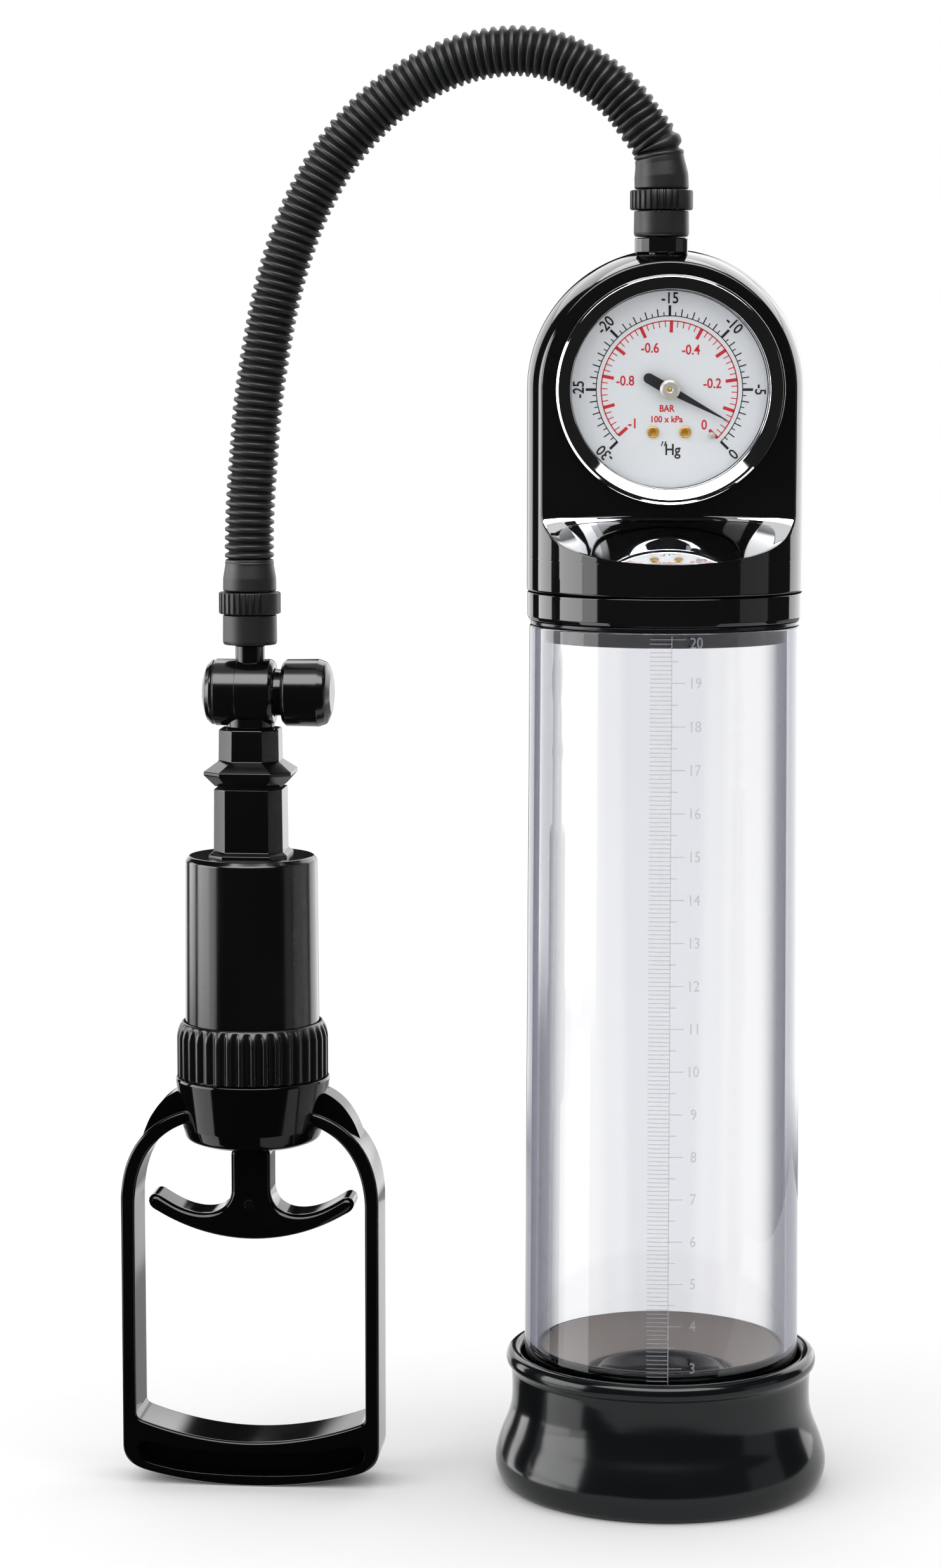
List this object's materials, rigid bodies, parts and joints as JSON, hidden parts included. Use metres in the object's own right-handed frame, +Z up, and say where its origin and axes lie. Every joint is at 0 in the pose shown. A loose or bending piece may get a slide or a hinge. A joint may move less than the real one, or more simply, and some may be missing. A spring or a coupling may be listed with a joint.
{
  "type": "hand vacuum pump",
  "caption": "Clear vacuum chamber with a rubber base sleeve and a dial vacuum gauge in its domed head, with a ribbed hose to a hand pump that has a sprung pull handle and a release button.",
  "frame": {"origin": "middle of the footprint of the chamber and the pump, on the surface they stand on", "axes": "+Z up along the chamber and the pump; the gauge faces -Y; +X from the hand pump towards the chamber"},
  "size_m": [0.1694, 0.0796, 0.3456],
  "materials": {
    "gloss_black": "polished moulded black plastic",
    "matt_black": "satin moulded dark grey-black plastic",
    "hose_black": "soft matt corrugated hose",
    "rubber_black": "satin black silicone rubber",
    "clear_tube": "clear polished plastic with a faint lavender edge",
    "lens": "clear flat window",
    "chrome": "polished chrome plate",
    "steel": "turned bright steel",
    "brass": "turned brass",
    "dial_white": "satin white enamel with printed scales",
    "pointer_black": "matt black paint"
  },
  "bodies": {
    "root": {"barrel": "matt_black", "base_sleeve": "rubber_black", "bourdon_tube": "brass", "dial_screw_left": "brass", "dial_screw_right": "brass", "gauge_bezel": "chrome", "gauge_case": "steel", "gauge_dial": "dial_white", "gauge_inlet": "brass", "gauge_lens": "lens", "handle_frame": "gloss_black", "head_base_ring": "gloss_black", "head_boot": "matt_black", "head_nipple": "gloss_black", "head_shell": "gloss_black", "head_socket": "matt_black", "hose": "hose_black", "inlet_check_valve": "rubber_black", "movement_back_plate": "brass", "movement_front_plate": "brass", "neck_adapter": "matt_black", "nipple_seal": "rubber_black", "plate_post_left": "brass", "plate_post_right": "brass", "pump_boot": "matt_black", "pump_socket": "matt_black", "release_spring": "steel", "return_spring": "steel", "rod_bush": "brass", "stop_pin": "steel", "tube": "clear_tube", "tube_gasket": "rubber_black", "valve_body": "matt_black", "valve_end_cap": "matt_black"},
    "plunger": {"pull_handle": "gloss_black", "piston_rod": "steel", "piston": "matt_black", "piston_seal": "rubber_black", "piston_check_flap": "rubber_black"},
    "release": {"release_button": "gloss_black", "release_stem": "steel", "stem_seal": "rubber_black"},
    "sector": {"sector_gear": "brass"},
    "needle": {"pointer": "pointer_black", "pointer_shaft": "steel", "pointer_hub": "steel"},
    "nut": {"knurled_nut": "matt_black"},
    "head_ring": {"head_lock_ring": "matt_black"},
    "pump_ring": {"pump_lock_ring": "matt_black"}
  },
  "joints": [
    {"name": "handle_pull", "type": "slide", "parent": "root", "child": "plunger", "axis": [0, 0, -1], "range_m": [0, 0.036], "stiffness_N_per_m": 350, "deforming": ["return_spring"]},
    {"name": "release_press", "type": "slide", "parent": "root", "child": "release", "axis": [-0.9962, 0.0872, 0], "range_m": [0, 0.0016], "stiffness_N_per_m": 900, "deforming": ["release_spring"]},
    {"name": "sector_turn", "type": "hinge", "parent": "root", "child": "sector", "pos_m": [0.04489, -0.0065, 0.2468], "axis": [0, -1, 0], "range_deg": [-37.48, 2.22], "stiffness_Nm_per_rad": 0.002},
    {"name": "pointer_turn", "type": "hinge", "parent": "root", "child": "needle", "pos_m": [0.04489, -0.016, 0.2623], "axis": [0, -1, 0], "range_deg": [-15, 253]},
    {"name": "nut_turn", "type": "hinge", "parent": "root", "child": "nut", "pos_m": [-0.05311, 0, 0.105], "axis": [0, 0, 1], "continuous": true},
    {"name": "head_ring_turn", "type": "hinge", "parent": "root", "child": "head_ring", "pos_m": [0.04319, -0.008, 0.3058], "axis": [0, 0, 1], "continuous": true},
    {"name": "pump_ring_turn", "type": "hinge", "parent": "root", "child": "pump_ring", "pos_m": [-0.05311, 0, 0.2121], "axis": [0, 0, 1], "continuous": true}
  ],
  "couplings": [
    {"joint": "pointer_turn", "follows": "sector_turn", "ratio": -6.75}
  ]
}
